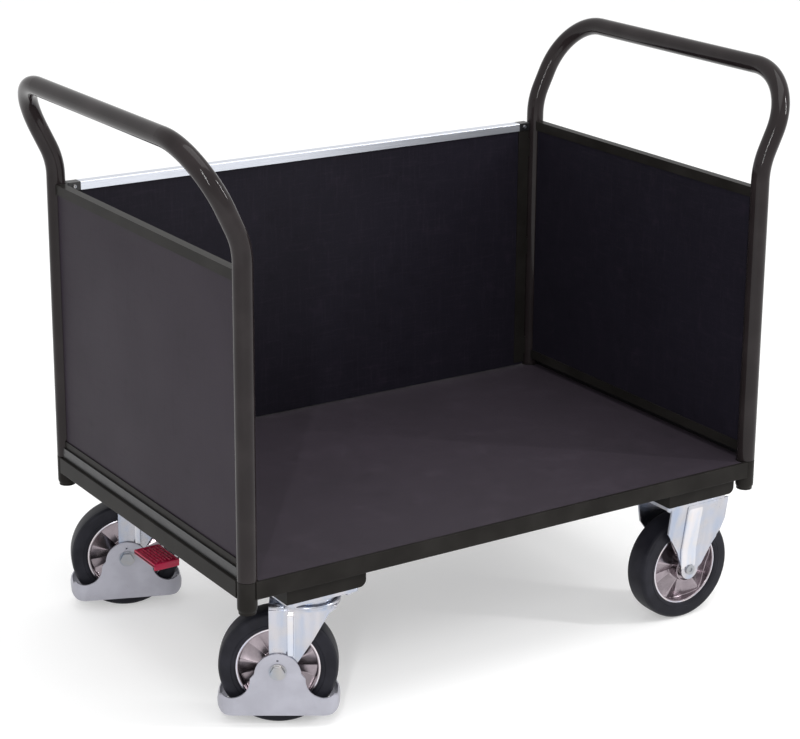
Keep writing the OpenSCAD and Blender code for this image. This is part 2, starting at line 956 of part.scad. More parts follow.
// Cast wheel centre: hub, thin disc, tapering webs and a band for the tyre.
module rim() {
  band_half = tyre_width / 2 - 3;
  web_count = 5;
  web_half = band_half - 7;
  web_spread = rim_r * 0.24;
  rotate([90, 0, 0]) {
    difference() {
      union() {
        cylinder(r = hub_r, h = hub_length, center = true);
        cylinder(r = rim_r - 1, h = 6, center = true);
        for (i = [0 : web_count - 1])
          rotate([0, 0, i * 360 / web_count])
            linear_extrude(2 * web_half, center = true)
              polygon([
                [hub_r - 4, -5], [rim_r - 3, -web_spread], [rim_r - 3, web_spread], [hub_r - 4, 5]
              ]);
        difference() {
          cylinder(r = rim_r - touch, h = 2 * band_half, center = true);
          cylinder(r = rim_r - rim_band, h = 2 * band_half + 2, center = true);
        }
      }
      for (s = [-1, 1])
        translate([0, 0, s * hub_length / 2])
          cylinder(r = bearing_r + touch, h = 2 * bearing_width, center = true);
      cylinder(r = axle_r + 3, h = hub_length + 2, center = true);
    }
  }
}

module tyre() {
  half = tyre_width / 2;
  soft = tyre_shoulder;
  rotate([90, 0, 0])
    rotate_extrude()
      difference() {
        union() {
          translate([rim_r, -half + soft]) square([wheel_r - rim_r, 2 * (half - soft)]);
          translate([rim_r, -half]) square([wheel_r - rim_r - soft, 2 * half]);
          for (s = [-1, 1]) translate([wheel_r - soft, s * (half - soft)]) circle(r = soft);
        }
      }
}

// Two ball bearings in the hub, each as one closed ring.
module bearings() {
  rotate([90, 0, 0])
    for (s = [-1, 1])
      translate([0, 0, s * (hub_length / 2 - bearing_width / 2)])
        difference() {
          cylinder(r = bearing_r, h = bearing_width - 1, center = true);
          cylinder(r = axle_r + running, h = bearing_width + 1, center = true);
        }
}

module at_wheel(side, swivel) {
  if (swivel) at_swivel(side) translate([-trail, 0, axle_z]) children();
  else at_fixed(side) translate([0, 0, axle_z]) children();
}

rubber = [0.15, 0.15, 0.17];
casting = [0.72, 0.7, 0.72];
steel = [0.7, 0.7, 0.72];

module front_swivel_axle() {
  color(zinc) at_wheel(-1, true) axle_set(guard_outer, false);
}

module front_swivel_rim() {
  color(casting) at_wheel(-1, true) rim();
}

module front_swivel_tyre() {
  color(rubber) at_wheel(-1, true) tyre();
}

module front_swivel_bearings() {
  color(steel) at_wheel(-1, true) bearings();
}

module back_swivel_axle() {
  color(zinc) at_wheel(1, true) axle_set(guard_outer, false);
}

module back_swivel_rim() {
  color(casting) at_wheel(1, true) rim();
}

module back_swivel_tyre() {
  color(rubber) at_wheel(1, true) tyre();
}

module back_swivel_bearings() {
  color(steel) at_wheel(1, true) bearings();
}

module front_fixed_axle() {
  color(zinc) at_wheel(-1, false) axle_set(leg_outer + rib_rise, true);
}

module front_fixed_rim() {
  color(casting) at_wheel(-1, false) rim();
}

module front_fixed_tyre() {
  color(rubber) at_wheel(-1, false) tyre();
}

module front_fixed_bearings() {
  color(steel) at_wheel(-1, false) bearings();
}

module back_fixed_axle() {
  color(zinc) at_wheel(1, false) mirror([0, 1, 0]) axle_set(leg_outer + rib_rise, true);
}

module back_fixed_rim() {
  color(casting) at_wheel(1, false) rim();
}

module back_fixed_tyre() {
  color(rubber) at_wheel(1, false) tyre();
}

module back_fixed_bearings() {
  color(steel) at_wheel(1, false) bearings();
}

// ---------- brake ----------

// Shaft across the left cross-member with a cam over each plunger.
module brake_shaft() {
  reach = caster_y + 12;
  cam_width = 8;
  color(zinc) {
    translate([shaft_x, reach, shaft_z]) rotate([90, 0, 0]) cylinder(r = shaft_r, h = 2 * reach);
    for (s = [-1, 1])
      translate([shaft_x - cam_reach - 6, s * caster_y - cam_width / 2, shaft_z - cam_half])
        cube([cam_reach + 6, cam_width, 2 * cam_half]);
  }
}

// Bearing plates that stand on the floor of the cross-member.
module shaft_brackets() {
  bracket = 4;
  color(paint)
    for (y = [-base_width / 4, 0, arm_y + 40])
      translate([shaft_x, y, 0])
        difference() {
          union() {
            translate([-14, 0, cross_floor + touch]) cube([28, bracket, shaft_z - cross_floor - touch]);
            translate([0, bracket, shaft_z]) rotate([90, 0, 0]) cylinder(r = 14, h = bracket);
          }
          translate([0, bracket + 1, shaft_z]) rotate([90, 0, 0]) cylinder(r = shaft_r + running, h = bracket + 2);
        }
}

// Flat bent lever from the shaft down and out to the pedal.
module pedal_arm() {
  arm_sheet = 8;
  pedal_x = pedal_left + pedal_length + 6;
  arm_z = pedal_z - arm_sheet / 2 - touch;
  color(zinc)
    difference() {
      upright_slab(arm_y - arm_width / 2, arm_y + arm_width / 2)
        union() {
          translate([shaft_x, shaft_z]) circle(r = 12);
          strip([
            [shaft_x, shaft_z], [shaft_x, plate_bottom - 30],
            [pedal_x, arm_z], [pedal_left + 14, arm_z]
          ], arm_sheet);
        }
      translate([shaft_x, arm_y + arm_width, shaft_z]) rotate([90, 0, 0])
        cylinder(r = shaft_r + touch, h = 2 * arm_width);
    }
}

// Moulded foot plate with cross ribs and a turned-down front edge.
module brake_pedal() {
  ribs = 6;
  color([0.62, 0.05, 0.2])
    translate([pedal_left, pedal_front, pedal_z]) {
      cube([pedal_length, pedal_width, pedal_thickness - 2]);
      for (i = [0 : ribs - 1])
        translate([4 + i * (pedal_length - 8) / ribs, 3, pedal_thickness - 2])
          cube([(pedal_length - 8) / ribs - 3, pedal_width - 6, 2]);
      difference() {
        translate([0, 0, -8]) cube([3, pedal_width, 9]);
        translate([-1, pedal_width / 2 - arm_width / 2 - 1, -9]) cube([5, arm_width + 2, 9]);
      }
    }
}

// Rod through the kingpin with a rubber foot above the tyre.
module brake_plunger(side) {
  translate([-swivel_x, side * caster_y, 0]) {
    translate([0, 0, plunger_foot_z + plunger_foot])
      cylinder(r = plunger_r, h = plunger_top - plunger_r - plunger_foot_z - plunger_foot);
    translate([0, 0, plunger_top - plunger_r]) sphere(r = plunger_r);
    translate([0, 0, plunger_foot_z]) cylinder(r = plunger_foot_r, h = plunger_foot);
  }
}

module front_brake_plunger() {
  color(steel) brake_plunger(-1);
}

module back_brake_plunger() {
  color(steel) brake_plunger(1);
}

front_rail();
back_rail();
left_rail();
right_rail();
corner_sockets();
left_cross_member();
right_cross_member();
deck_board();
left_handle_tube();
left_top_rail();
left_bottom_rail();
left_panel();
right_handle_tube();
right_top_rail();
right_bottom_rail();
right_panel();
end_gap_strips();
back_panel();
back_edge_profile();
edge_end_caps();
cap_screws();
left_upright();
right_upright();
upright_tabs();
plate_bolts();
plate_nuts();
swivel_top_plates();
upper_races();
kingpins();
front_race_balls();
front_swivel_fork();
front_foot_guard();
front_swivel_axle();
front_swivel_rim();
front_swivel_tyre();
front_swivel_bearings();
back_race_balls();
back_swivel_fork();
back_foot_guard();
back_swivel_axle();
back_swivel_rim();
back_swivel_tyre();
back_swivel_bearings();
front_fixed_fork();
front_fixed_axle();
front_fixed_rim();
front_fixed_tyre();
front_fixed_bearings();
back_fixed_fork();
back_fixed_axle();
back_fixed_rim();
back_fixed_tyre();
back_fixed_bearings();
brake_shaft();
shaft_brackets();
pedal_arm();
brake_pedal();
front_brake_plunger();
back_brake_plunger();
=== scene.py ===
"""Three-walled platform trolley: finishes, wheels, pedal and small fittings over its frame."""

import json
import math

import bpy
import numpy as np
from mathutils import Matrix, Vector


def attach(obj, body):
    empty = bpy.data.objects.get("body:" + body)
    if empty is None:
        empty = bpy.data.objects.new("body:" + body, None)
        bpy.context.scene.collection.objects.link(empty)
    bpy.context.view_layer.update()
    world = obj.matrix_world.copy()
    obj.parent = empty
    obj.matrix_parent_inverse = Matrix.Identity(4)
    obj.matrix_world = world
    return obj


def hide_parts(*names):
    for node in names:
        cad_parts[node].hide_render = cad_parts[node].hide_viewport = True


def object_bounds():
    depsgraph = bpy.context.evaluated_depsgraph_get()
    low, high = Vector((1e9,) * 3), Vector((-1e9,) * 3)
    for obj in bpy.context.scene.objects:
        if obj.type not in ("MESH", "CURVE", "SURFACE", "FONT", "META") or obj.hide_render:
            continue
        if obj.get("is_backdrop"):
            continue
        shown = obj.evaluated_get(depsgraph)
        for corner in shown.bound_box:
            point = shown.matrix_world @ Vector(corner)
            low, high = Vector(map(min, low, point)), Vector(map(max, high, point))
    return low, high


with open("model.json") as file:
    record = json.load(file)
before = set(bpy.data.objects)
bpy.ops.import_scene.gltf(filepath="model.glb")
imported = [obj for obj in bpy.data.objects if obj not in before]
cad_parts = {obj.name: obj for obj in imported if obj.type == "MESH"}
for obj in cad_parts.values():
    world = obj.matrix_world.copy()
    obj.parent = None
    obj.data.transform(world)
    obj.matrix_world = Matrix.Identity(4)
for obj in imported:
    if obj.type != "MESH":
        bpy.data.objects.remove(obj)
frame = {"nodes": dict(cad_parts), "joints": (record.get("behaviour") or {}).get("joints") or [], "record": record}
cad_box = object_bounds()
nodes = frame["nodes"]
joints = {j["name"]: j for j in frame["joints"]}
scene = bpy.context.scene
scene.view_settings.view_transform = "Standard"
scene.view_settings.look = "None"

MM = 0.001
WALL_X = 519.5 * MM  # middle of the end panels
WALL_Y = 339.0 * MM  # middle of the back panel
MESH_PITCH = 4.2 * MM  # wavelength of the anti-slip pattern, along each diagonal's coordinate
DUST = (0.06, 0.056, 0.05)
GRIME = (0.16, 0.15, 0.14)


# ---------- shader maths ----------


class Val:
    """A number on a socket. Its operators add Math nodes to the same material."""

    def __init__(self, finish, socket):
        self.finish = finish
        self.socket = socket

    def math(self, operation, *others):
        return self.finish.node("ShaderNodeMath", {"operation": operation}, [self, *others])

    def __add__(self, other):
        return self.math("ADD", other)

    __radd__ = __add__

    def __mul__(self, other):
        return self.math("MULTIPLY", other)

    __rmul__ = __mul__

    def __sub__(self, other):
        return self.math("SUBTRACT", other)

    def __rsub__(self, other):
        return self.finish.node("ShaderNodeMath", {"operation": "SUBTRACT"}, [other, self])

    def sin(self):
        return self.math("SINE")

    def abs(self):
        return self.math("ABSOLUTE")

    def power(self, exponent):
        return self.math("POWER", exponent)

    def step(self, low, high):
        """0 below low, 1 above high, and smooth between."""
        return self.finish.node(
            "ShaderNodeMapRange",
            {"interpolation_type": "SMOOTHSTEP"},
            {"Value": self, "From Min": low, "From Max": high},
        )


def scaled(tint, by, lift=0.0):
    """A tint times a number, or times one number a channel, with the same lift added to each."""
    by = by if isinstance(by, tuple) else (by, by, by)
    return tuple(c * k + lift for c, k in zip(tint, by))


class Finish:
    """A material, with one method for every node it needs."""

    def __init__(self, name, roughness=0.5, metallic=0.0, **constants):
        self.material = bpy.data.materials.new(name)
        self.material.use_nodes = True
        self.tree = self.material.node_tree
        self.shader = self.tree.nodes["Principled BSDF"]
        self.put(self.shader.inputs["Roughness"], roughness)
        self.put(self.shader.inputs["Metallic"], metallic)
        for key, value in constants.items():
            label = key.replace("_", " ").title().replace("Ior", "IOR")
            self.put(self.shader.inputs[label], value)

    def put(self, socket, value):
        if isinstance(value, Val):
            self.tree.links.new(value.socket, socket)
        elif isinstance(value, (tuple, list)) and socket.type == "RGBA" and len(value) == 3:
            socket.default_value = (*value, 1.0)
        else:
            socket.default_value = value

    def node(self, kind, settings=None, inputs=None, out=0):
        """Adds a node: settings first, then its inputs by name or in order."""
        made = self.tree.nodes.new(kind)
        for key, value in (settings or {}).items():
            if key == "stops":
                while len(made.color_ramp.elements) < len(value):
                    made.color_ramp.elements.new(0.5)
                for element, (place, colour) in zip(made.color_ramp.elements, value):
                    element.position = place
                    element.color = (*colour, 1.0)
            else:
                setattr(made, key, value)
        pairs = enumerate(inputs or []) if isinstance(inputs, list) else (inputs or {}).items()
        for key, value in pairs:
            self.put(made.inputs[key], value)
        return Val(self, made.outputs[out])

    def place(self, scale=(1, 1, 1)):
        """The piece's own coordinates in metres, scaled."""
        where = self.node("ShaderNodeTexCoord", out="Object")
        return self.node("ShaderNodeMapping", {}, {"Vector": where, "Scale": scale})

    def axis(self, which):
        """One of the piece's own coordinates, X, Y or Z, in metres."""
        return self.node("ShaderNodeSeparateXYZ", {}, [self.place()], out="XYZ".index(which))

    def noise(self, scale, detail=3.0, where=None, roughness=0.5):
        return self.node(
            "ShaderNodeTexNoise",
            {},
            {
                "Vector": where or self.place(),
                "Scale": scale,
                "Detail": detail,
                "Roughness": roughness,
            },
        )

    def mix(self, factor, first, second):
        """Colour from first to second as factor goes from 0 to 1."""
        return self.node(
            "ShaderNodeMix", {"data_type": "RGBA"}, {0: factor, 6: first, 7: second}, out=2
        )

    def colour(self, value):
        self.put(self.shader.inputs["Base Color"], value)

    def rough(self, value):
        self.put(self.shader.inputs["Roughness"], value)

    def bump(self, height, depth, strength=1.0):
        """Bump of that depth in metres, fed to the shader's normal."""
        made = self.node(
            "ShaderNodeBump", {}, {"Height": height, "Distance": depth, "Strength": strength}
        )
        self.put(self.shader.inputs["Normal"], made)


def powder_coat(name, tint, shine, roughness, dusty=True):
    """Black powder coat: orange peel about a millimetre wide, faint mottling, dust low down."""
    f = Finish(name, specular_ior_level=shine)
    peel = f.noise(750.0, 2.0)
    mottle = f.noise(14.0, 4.0)
    rub = f.noise(60.0, 6.0, where=f.place(scale=(1, 1, 0.25)), roughness=0.7)
    worn = f.mix(mottle.step(0.35, 0.75), tint, scaled(tint, 1.35, 0.002))
    scuffed = f.mix(rub.step(0.66, 0.8) * 0.3, worn, scaled(tint, 2.0, 0.006))
    if dusty:
        low = 1 - f.axis("Z").step(0.2, 0.36)
        scuffed = f.mix(low * mottle * 0.12, scuffed, DUST)
    f.colour(scuffed)
    f.rough(mottle * 0.08 + roughness - 0.04)
    f.bump(peel, 0.00002, 0.5)
    return f


def film_board(name, tint, mesh, inside=None):
    """Film-faced board with the fibres of its paper showing through as crossed fine threads.
    With mesh, the pressed wire pattern of an anti-slip deck: crossed waves sin(k(x+y)) and
    sin(k(x-y)), whose crests meet every few millimetres. Given an inner tint, the walls' inner faces take it as
    painted shade."""
    f = Finish(name, specular_ior_level=0.25 if mesh else 0.08)
    x, y, z = (f.axis(a) for a in "XYZ")
    cloud = f.noise(5.0, 5.0)
    across = f.noise(260.0, 3.0, where=f.place(scale=(0.06, 0.06, 1)), roughness=0.6)
    along = f.noise(260.0, 3.0, where=f.place(scale=(1, 1, 0.06)), roughness=0.6)
    speck = f.noise(420.0, 2.0)
    shade = tint
    # Painted shade: the walls' inner faces, inside the trolley, take the darker inner tint; the outer faces keep
    # the board's tint.
    if inside:
        end_wall = x.abs().step(WALL_X - 1 * MM, WALL_X + 1 * MM)
        back_wall = y.step(WALL_Y - 1 * MM, WALL_Y + 1 * MM)
        shade = f.mix((end_wall + back_wall).step(0.1, 0.9), inside, tint)
    dark, pale = (0.0, 0.0, 0.0), scaled(tint, 2.2, 0.006)
    body = f.mix(cloud.step(0.3, 0.7) * 0.12, shade, dark)
    threads = across.step(0.5, 0.75) + along.step(0.5, 0.75)
    body = f.mix(threads * (0.14 if mesh else 0.09), body, pale)
    body = f.mix(speck.step(0.58, 0.72) * (0.22 if mesh else 0.14), body, pale)
    blot = f.noise(34.0, 4.0, roughness=0.6)
    body = f.mix(blot.step(0.55, 0.8) * 0.22, body, scaled(tint, 1.6))
    body = f.mix((1 - blot).step(0.55, 0.8) * 0.22, body, dark)
    if mesh:
        wave = 2 * math.pi / MESH_PITCH
        weave = ((x + y) * wave).sin() * ((x - y) * wave).sin()
        crest = weave.abs().power(0.6)
        body = f.mix(crest * 0.3, body, dark)
        f.bump(crest * 0.8 + speck * 0.4, 0.00022, 0.7)
        f.rough(cloud * 0.12 + crest * 0.1 + 0.42)
    else:
        f.bump(speck * 0.5 + threads * 0.5, 0.00008, 0.6)
        f.rough(cloud * 0.14 + threads * 0.05 + 0.34)
    f.colour(body)
    return f


def zinc_plate(name, tint, roughness=0.24):
    """Bright zinc plating: bluish patches, fine drawing lines, a few dull spots, and soft upright
    bands, yellowish to bluish, that are partly the plating's tint and partly painted reflection."""
    f = Finish(name, metallic=1.0)
    patch = f.noise(38.0, 4.0)
    grain = f.noise(700.0, 3.0, where=f.place(scale=(1, 1, 0.12)))
    spot = f.noise(260.0, 2.0)
    cool, warm = scaled(tint, (0.94, 0.98, 1.04)), scaled(tint, (1.03, 1.0, 0.96))
    body = f.mix(patch.step(0.35, 0.65), cool, warm)
    body = f.mix(spot.step(0.64, 0.78) * 0.12, body, scaled(tint, 0.7))
    # Painted reflection, partly the plating's own iridescent tint: soft upright bands, lighter and warmer where
    # the noise is high, darker and bluer where it is low.
    iridescence_and_sheen = f.noise(46.0, 2.0, where=f.place(scale=(1, 1, 0.12)))
    body = f.mix(iridescence_and_sheen.step(0.45, 0.7) * 0.5, body, scaled(tint, (1.25, 1.16, 1.08)))
    body = f.mix((1 - iridescence_and_sheen).step(0.5, 0.72) * 0.6, body, scaled(tint, (0.72, 0.84, 1.02)))
    f.colour(body)
    f.rough(patch * 0.06 + grain * 0.06 + roughness - 0.04)
    f.bump(grain, 0.00003, 0.5)
    return f


def lacquered_casting(name, tint):
    """Silver lacquer over a die casting: fine pebbling and soft flow marks."""
    f = Finish(name, metallic=0.35, coat_weight=0.15, coat_roughness=0.3)
    pebble = f.noise(520.0, 3.0)
    flow = f.noise(26.0, 4.0)
    grime = f.noise(90.0, 6.0, roughness=0.7)
    low = 1 - f.axis("Z").step(0.015, 0.07)
    body = f.mix(flow.step(0.35, 0.7), scaled(tint, 0.93), scaled(tint, 1.06))
    body = f.mix(grime.step(0.58, 0.8) * low * 0.5, body, GRIME)
    f.colour(body)
    f.rough(flow * 0.12 + pebble * 0.1 + 0.34)
    f.bump(pebble, 0.00006, 0.6)
    return f


def die_casting(name, tint):
    """Bare die-cast aluminium: soft swirls, cloudy oxide and a fine cast grain."""
    f = Finish(name, metallic=1.0)
    flow = f.noise(60.0, 5.0, roughness=0.6)
    fine = f.noise(900.0, 2.0)
    f.colour(f.mix(flow.step(0.3, 0.72), scaled(tint, 0.8), tint))
    f.rough(flow * 0.1 + fine * 0.06 + 0.16)
    f.bump(fine, 0.00003, 0.5)
    return f


def solid_rubber(name, tint):
    """Solid rubber: matt, faint bloom in patches, scuffs and dust where it rolls."""
    f = Finish(name, specular_ior_level=0.16)
    bloom = f.noise(30.0, 4.0)
    fine = f.noise(850.0, 3.0)
    scuff = f.noise(160.0, 5.0, roughness=0.7)
    body = f.mix(bloom.step(0.35, 0.7), tint, scaled(tint, 1.5, 0.003))
    body = f.mix(scuff.step(0.6, 0.78) * 0.3, body, scaled(tint, 2.0, 0.006))
    f.colour(body)
    f.rough(bloom * 0.18 + fine * 0.08 + 0.36)
    f.bump(fine + scuff * 0.6, 0.00007, 0.7)
    return f


def extruded_aluminium(name, tint):
    """Anodised extrusion: die lines along X."""
    f = Finish(name, metallic=0.9)
    lines = f.noise(900.0, 3.0, where=f.place(scale=(0.01, 1, 1)))
    cloud = f.noise(8.0, 3.0)
    f.colour(f.mix(lines.step(0.35, 0.7), scaled(tint, 0.88), tint))
    f.rough(lines * 0.14 + cloud * 0.08 + 0.26)
    f.bump(lines, 0.00004, 0.6)
    return f


def moulded(name, tint, roughness=0.4, scale=600.0):
    """Moulded plastic: fine spark-eroded grain, faint flow clouds and rubbed high spots."""
    f = Finish(name)
    grain = f.noise(scale, 2.0)
    cloud = f.noise(40.0, 4.0)
    rub = f.noise(190.0, 5.0, roughness=0.7)
    body = f.mix(cloud.step(0.3, 0.75), scaled(tint, 0.8), tint)
    body = f.mix(rub.step(0.6, 0.8) * 0.3, body, scaled(tint, 1.5, 0.01))
    f.colour(body)
    f.rough(cloud * 0.14 + grain * 0.12 + roughness - 0.12)
    f.bump(grain, 0.00008, 0.6)
    return f


paint = powder_coat("frame_powder_coat", (0.0110, 0.0100, 0.0092), 0.05, 0.32)
tube_paint = powder_coat("tube_powder_coat", (0.0135, 0.0105, 0.0110), 0.18, 0.10, dusty=False)
deck_film = film_board("deck_anti_slip_film", (0.034, 0.0265, 0.036), True)
# The last tint is painted shade for the walls' inner faces.
wall_film = film_board("wall_film", (0.0185, 0.0130, 0.0205), False, (0.0100, 0.0090, 0.0140))
aluminium = extruded_aluminium("edge_anodised", (0.72, 0.75, 0.82))
cap_black = moulded("cap_black", (0.006, 0.006, 0.007), 0.35)
zinc = zinc_plate("zinc_plate", (0.42, 0.43, 0.475))
# Painted highlight: a brighter copy of the zinc plating for the pressed ribs, so they show as bright bands.
rib_highlight_zinc = zinc_plate("rib_highlight_zinc", (0.58, 0.58, 0.61), 0.18)
bolt_zinc = zinc_plate("bolt_zinc", (0.33, 0.335, 0.35), 0.3)
guard_silver = lacquered_casting("guard_silver", (0.36, 0.36, 0.41))
casting = die_casting("wheel_casting", (0.33, 0.285, 0.31))
machined = zinc_plate("machined_ring", (0.62, 0.60, 0.64), 0.2)
rubber = solid_rubber("wheel_rubber", (0.0075, 0.0075, 0.0115))
ground_steel = zinc_plate("ground_steel", (0.56, 0.56, 0.58), 0.22)
pedal_red = moulded("pedal_crimson", (0.40, 0.004, 0.045), 0.38, 380.0)


# ---------- surfaces ----------


def finish_mesh(name, mesh, material, body, sharp=35.0):
    """Links the mesh as a piece that rides on a body, smooth apart from its sharper edges."""
    piece = bpy.data.objects.new(name, mesh)
    scene.collection.objects.link(piece)
    mesh.polygons.foreach_set("use_smooth", np.ones(len(mesh.polygons), bool))
    mesh.set_sharp_from_angle(angle=math.radians(sharp))
    mesh.materials.append(material.material)
    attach(piece, body)
    return piece


def closed_mesh(name, points, faces):
    """A mesh in metres whose faces are turned outward: the volume, a sixth of the sum of
    a . (b x c) over its triangles, comes out positive."""
    mesh = bpy.data.meshes.new(name)
    mesh.from_pydata(points, [], faces)
    mesh.update()
    mesh.calc_loop_triangles()
    corners = np.empty(len(mesh.loop_triangles) * 3, int)
    mesh.loop_triangles.foreach_get("vertices", corners)
    a, b, c = points[corners.reshape(-1, 3)].swapaxes(0, 1)
    if np.einsum("ij,ij->", a, np.cross(b, c)) < 0:
        mesh.flip_normals()
    return mesh


def grid_mesh(name, points, closed_rows=False, caps=False):
    """Quads over an array of points[row, column, xyz]. Each row joins its last point to its
    first, closed_rows joins the last row to the first, and caps close both end rows."""
    rows, columns = points.shape[:2]
    index = np.arange(rows * columns).reshape(rows, columns)
    ends = [index[0, ::-1].tolist(), index[-1].tolist()] if caps else []
    if closed_rows:
        index = np.vstack([index, index[:1]])
    index = np.hstack([index, index[:, :1]])
    quads = np.stack(
        [index[:-1, :-1], index[:-1, 1:], index[1:, 1:], index[1:, :-1]], axis=-1
    ).reshape(-1, 4)
    return closed_mesh(name, points.reshape(-1, 3), quads.tolist() + ends)


def turned(profile, centre, axle, steps=144):
    """Surface of revolution: profile[(along, radius)] turned about the axle through centre.
    Point = centre + along * axle + radius * (cos t * side + sin t * up)."""
    profile = np.asarray(profile, float)
    t = np.linspace(0, 2 * np.pi, steps, endpoint=False)
    return around(profile[:, 0][:, None], profile[:, 1][:, None], t[None, :], centre, axle)


def around(along, radius, t, centre, axle):
    """Cylindrical coordinates about an axle, as points in the row frame."""
    axle = np.asarray(axle, float) / np.linalg.norm(axle)
    up = np.array([0.0, 0.0, 1.0])
    side = np.cross(up, axle)
    along, radius, t = np.broadcast_arrays(along, radius, t)
    return (
        np.asarray(centre, float)
        + along[..., None] * axle
        + (radius * np.cos(t))[..., None] * side
        + (radius * np.sin(t))[..., None] * up
    )


def arc(cx, cy, r, start, end, steps):
    """Points on a circle, angles in degrees."""
    a = np.radians(np.linspace(start, end, steps))
    return np.stack([cx + r * np.cos(a), cy + r * np.sin(a)], axis=1)


# ---------- wheels ----------

WHEELS = {
    "front_swivel": ("front_swivel_wheel_roll", 11.0),
    "back_swivel": ("back_swivel_wheel_roll", 18.0),
    "front_fixed": ("front_fixed_wheel_roll", 18.0),
    "back_fixed": ("back_fixed_wheel_roll", 60.0),
}
RIBS = 5


def tyre_profile():
    """Half of a tyre's section from the rim seat to the middle of the tread, then mirrored:
    bead, shallow groove, flat side, round shoulder, crowned tread."""
    half = [
        (-22.0, 70.95),
        (-23.2, 71.2),
        (-24.0, 72.2),
        (-24.3, 73.6),
        (-24.9, 74.8),
        (-24.9, 77.0),
        (-24.3, 77.6),
        (-24.3, 78.4),
        (-24.9, 79.0),
        (-25.0, 84.0),
    ]
    half += [tuple(p) for p in arc(-18.2, 91.6, 6.8, 178, 100, 9)]
    half += [(-19.0, 98.9), (-15.0, 99.55), (-10.0, 99.85), (-5.0, 99.97), (-0.9, 100.0)]
    half = np.array(half) * MM
    other = half[::-1] * np.array([-1, 1])
    return np.vstack([half, other])


def wheel_centre(name, centre, axle, phase):
    """Die-cast centre as one closed surface over (profile, angle). Its face lies at
    along(r, t) = web + (ridge - web) * rib(t), where rib is a triangular wave that peaks on
    each of five ridges; hub, fillets and the band for the tyre close the profile."""
    t = np.linspace(0, 2 * np.pi, 300, endpoint=False)
    period = 2 * np.pi / RIBS
    off = np.abs((t - math.radians(phase) + period / 2) % period - period / 2)
    rib = np.clip(1 - off / math.radians(27), 0, 1)
    rib = np.minimum(rib, 0.94 + (rib - 0.94) * 0.3)
    hub, ring, band, seat = 25.5, 66.0, 67.6, 70.9
    fine = np.linspace(0, 1, 16)
    face_r = hub + 1.5 + (ring - hub - 3.0) * fine
    web = 6.5 + 2.0 * (1 - fine) ** 2
    ridge = 18.5 + 1.2 * (1 - fine)
    face = web[:, None] + (ridge - web)[:, None] * rib[None, :]
    flat = np.ones_like(t)[None, :]

    def rows(pairs):
        pairs = np.array(pairs, float)
        return pairs[:, 0][:, None] * flat, pairs[:, 1][:, None] * flat

    bore = rows([
        (18.0, 16.1), (25.0, 16.1), (25.2, 16.4), (25.2, 22.2), (25.6, 22.6), (30.0, 22.8),
        (30.5, 23.2),
    ])
    lip = rows([(30.5, 24.8), (30.2, 25.3), (29.2, 25.5), (23.5, 25.5)])
    foot = (face[:1] + 0.8, np.full_like(face[:1], hub + 0.4))
    slope = (face, face_r[:, None] * flat)
    rise = (face[-1:] + 0.8, np.full_like(face[:1], ring - 0.3))
    rim = rows([
        (21.2, ring), (21.9, ring + 0.5), (22.0, band), (21.9, seat - 0.4), (21.5, seat),
        (10.0, seat),
    ])
    along = np.vstack([p[0] for p in (bore, lip, foot, slope, rise, rim)])
    radius = np.vstack([p[1] for p in (bore, lip, foot, slope, rise, rim)])
    along = np.vstack([along, -along[::-1]]) * MM
    radius = np.vstack([radius, radius[::-1]]) * MM
    points = around(along, radius, t[None, :], centre, axle)
    return grid_mesh(name, points[::-1], closed_rows=True)


# Section of the machined ring on a wheel's face, as (along, radius) in millimetres
RING_EDGE = np.array([
    (21.95, 67.9), (22.2, 68.2), (22.3, 68.9), (22.2, 69.7), (21.9, 70.2), (21.0, 69.6),
    (21.0, 68.1),
])

for wheel, (roll, phase) in WHEELS.items():
    joint = joints[roll]
    centre, axle, body = joint["pos_m"], joint["axis"], joint["child"]
    tread = wheel + "_tread"
    points = turned(tyre_profile(), centre, axle)[::-1]
    tyre = finish_mesh(tread, grid_mesh(tread, points, closed_rows=True), rubber, body)
    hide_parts(wheel + "_tyre")
    middle = wheel + "_wheel_centre"
    mesh = wheel_centre(middle, centre, axle, phase)
    centre_piece = finish_mesh(middle, mesh, casting, body, 28.0)
    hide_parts(wheel + "_rim")
    for side, face in (("near", -1), ("far", 1)):
        points = turned(RING_EDGE * np.array([face, 1]) * MM, centre, axle)
        ring = f"{wheel}_{side}_machined_ring"
        mesh = grid_mesh(ring, points[::face], closed_rows=True)
        finish_mesh(ring, mesh, machined, body)


# ---------- pedal and swivel crowns ----------


def soft_blocks(name, boxes, edge):
    """Blocks with round edges and corners, as one mesh. Point = corner centre + edge * direction,
    over a grid of height angle and plan angle; each octant's corner centre lies `edge` inside."""
    rise = np.radians([-80, -50, -20, 20, 50, 80])[:, None]
    quarter = np.linspace(0, 90, 5)
    plan = np.radians(np.concatenate([quarter + 90 * k for k in range(4)]))[None, :]
    sign_x = np.repeat([1, -1, -1, 1], 5)[None, :]
    sign_y = np.repeat([1, 1, -1, -1], 5)[None, :]
    verts, faces, count = [], [], 0
    for low, high in boxes:
        low, high = np.array(low, float), np.array(high, float)
        middle, half = (low + high) / 2, (high - low) / 2
        reach = half - np.minimum(edge, half * 0.98)
        grow = half - reach
        x = middle[0] + sign_x * reach[0] + grow[0] * np.cos(rise) * np.cos(plan)
        y = middle[1] + sign_y * reach[1] + grow[1] * np.cos(rise) * np.sin(plan)
        z = middle[2] + np.sign(rise) * reach[2] + grow[2] * np.sin(rise) + 0 * plan
        points = np.stack([x, y, z], axis=-1)
        rows, columns = points.shape[:2]
        index = np.arange(rows * columns).reshape(rows, columns) + count
        wide = np.hstack([index, index[:, :1]])
        quads = np.stack([wide[:-1, :-1], wide[:-1, 1:], wide[1:, 1:], wide[1:, :-1]], axis=-1)
        faces += quads.reshape(-1, 4).tolist() + [index[0, ::-1].tolist(), index[-1].tolist()]
        verts.append(points.reshape(-1, 3))
        count += rows * columns
    return closed_mesh(name, np.vstack(verts) * MM, faces)


